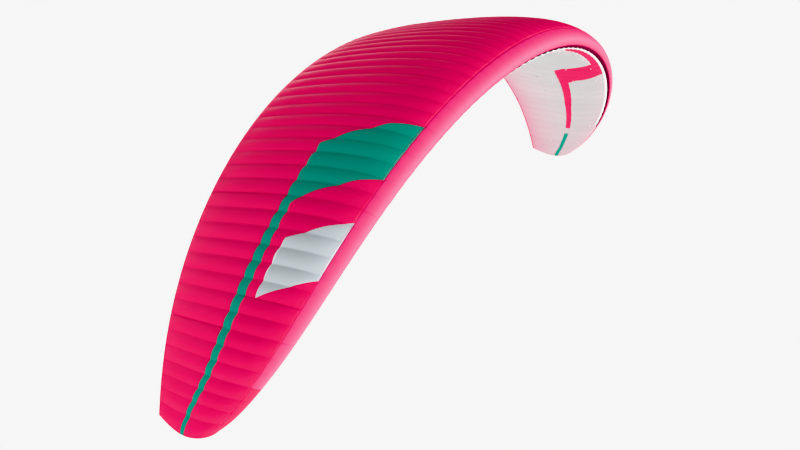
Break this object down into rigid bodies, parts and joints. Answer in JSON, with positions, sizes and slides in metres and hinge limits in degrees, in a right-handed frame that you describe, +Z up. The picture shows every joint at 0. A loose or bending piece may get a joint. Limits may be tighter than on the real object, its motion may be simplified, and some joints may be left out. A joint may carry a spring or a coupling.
{
  "type": "paraglider canopy",
  "caption": "Inflated ram-air canopy of a paraglider as it flies: sewn cloth cells on ribs in a high arc, open under the nose, with coloured inserts and stripes.",
  "frame": {"origin": "on the root section's chord line, a quarter of the chord behind the leading edge, where the air lifts the canopy", "axes": "+X towards the pilot's left tip, +Y back to the trailing edge, +Z up"},
  "size_m": [9.996, 2.4999, 3.2206],
  "materials": {
    "pink": "coated ripstop nylon, satin",
    "teal": "coated ripstop nylon, satin",
    "white": "coated ripstop nylon, satin",
    "lining": "coated ripstop nylon, off-white, satin"
  },
  "bodies": {
    "root": {"upper_front_tip_panel_right": "pink", "upper_front_outer_panel_right": "pink", "upper_white_insert_right": "white", "upper_front_inner_panel_right": "pink", "upper_teal_stripe_right": "teal", "upper_teal_insert_right": "teal", "lower_front_tip_panel_right": "lining", "lower_front_outer_panel_right": "lining", "lower_teal_stripe_right": "teal", "lower_stripe_gap_right": "lining", "lower_pink_stripe_right": "pink", "lower_pink_insert_right": "pink", "tip_end_panel_right": "pink", "nose_tip_panel_right": "pink", "upper_rear_tip_panel_right": "pink", "lower_rear_tip_panel_right": "lining", "nose_outer_panel_right": "pink", "upper_rear_outer_panel_right": "pink", "lower_rear_outer_panel_right": "lining", "nose_inner_panel_right": "pink", "upper_rear_inner_panel_right": "pink", "lower_rear_inner_panel_right": "lining", "nose_middle_panel_right": "pink", "upper_rear_middle_panel_right": "pink", "lower_rear_middle_panel_right": "lining", "upper_front_tip_panel_left": "pink", "upper_front_outer_panel_left": "pink", "upper_white_insert_left": "white", "upper_front_inner_panel_left": "pink", "upper_teal_stripe_left": "teal", "upper_teal_insert_left": "teal", "lower_front_tip_panel_left": "lining", "lower_front_outer_panel_left": "lining", "lower_teal_stripe_left": "teal", "lower_stripe_gap_left": "lining", "lower_pink_stripe_left": "pink", "lower_pink_insert_left": "pink", "tip_end_panel_left": "pink", "nose_tip_panel_left": "pink", "upper_rear_tip_panel_left": "pink", "lower_rear_tip_panel_left": "lining", "nose_outer_panel_left": "pink", "upper_rear_outer_panel_left": "pink", "lower_rear_outer_panel_left": "lining", "nose_inner_panel_left": "pink", "upper_rear_inner_panel_left": "pink", "lower_rear_inner_panel_left": "lining", "nose_middle_panel_left": "pink", "upper_rear_middle_panel_left": "pink", "lower_rear_middle_panel_left": "lining", "nose_centre_panel": "pink", "upper_rear_centre_panel": "pink", "lower_rear_centre_panel": "lining"}
  },
  "joints": []
}
